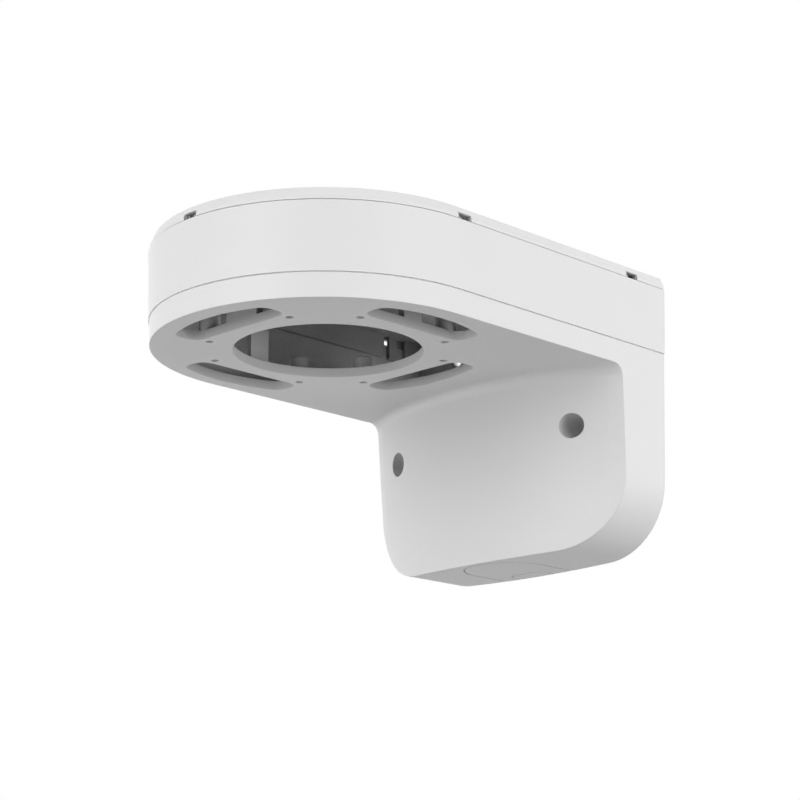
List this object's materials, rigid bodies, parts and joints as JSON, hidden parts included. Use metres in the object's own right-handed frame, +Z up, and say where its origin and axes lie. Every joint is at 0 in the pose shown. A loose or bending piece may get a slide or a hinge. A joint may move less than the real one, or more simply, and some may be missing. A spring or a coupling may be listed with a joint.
{
  "type": "camera wall bracket",
  "caption": "L-shaped wall bracket that holds a security camera under a hollow arm with a half-round nose and a clip-in top cover.",
  "frame": {"origin": "on the wall plane, midway between the two upper wall screw holes", "axes": "+Z up, -Y from the wall out along the arm to its nose, +X to the right of someone who looks at the front"},
  "size_m": [0.14, 0.191, 0.1141],
  "materials": {
    "moulded_plastic": "matte, very fine texture",
    "screw_steel": "zinc plated"
  },
  "bodies": {
    "root": {"arm_body": "moulded_plastic", "arm_frame": "moulded_plastic", "top_cover": "moulded_plastic", "frame_screws": "screw_steel"}
  },
  "joints": []
}
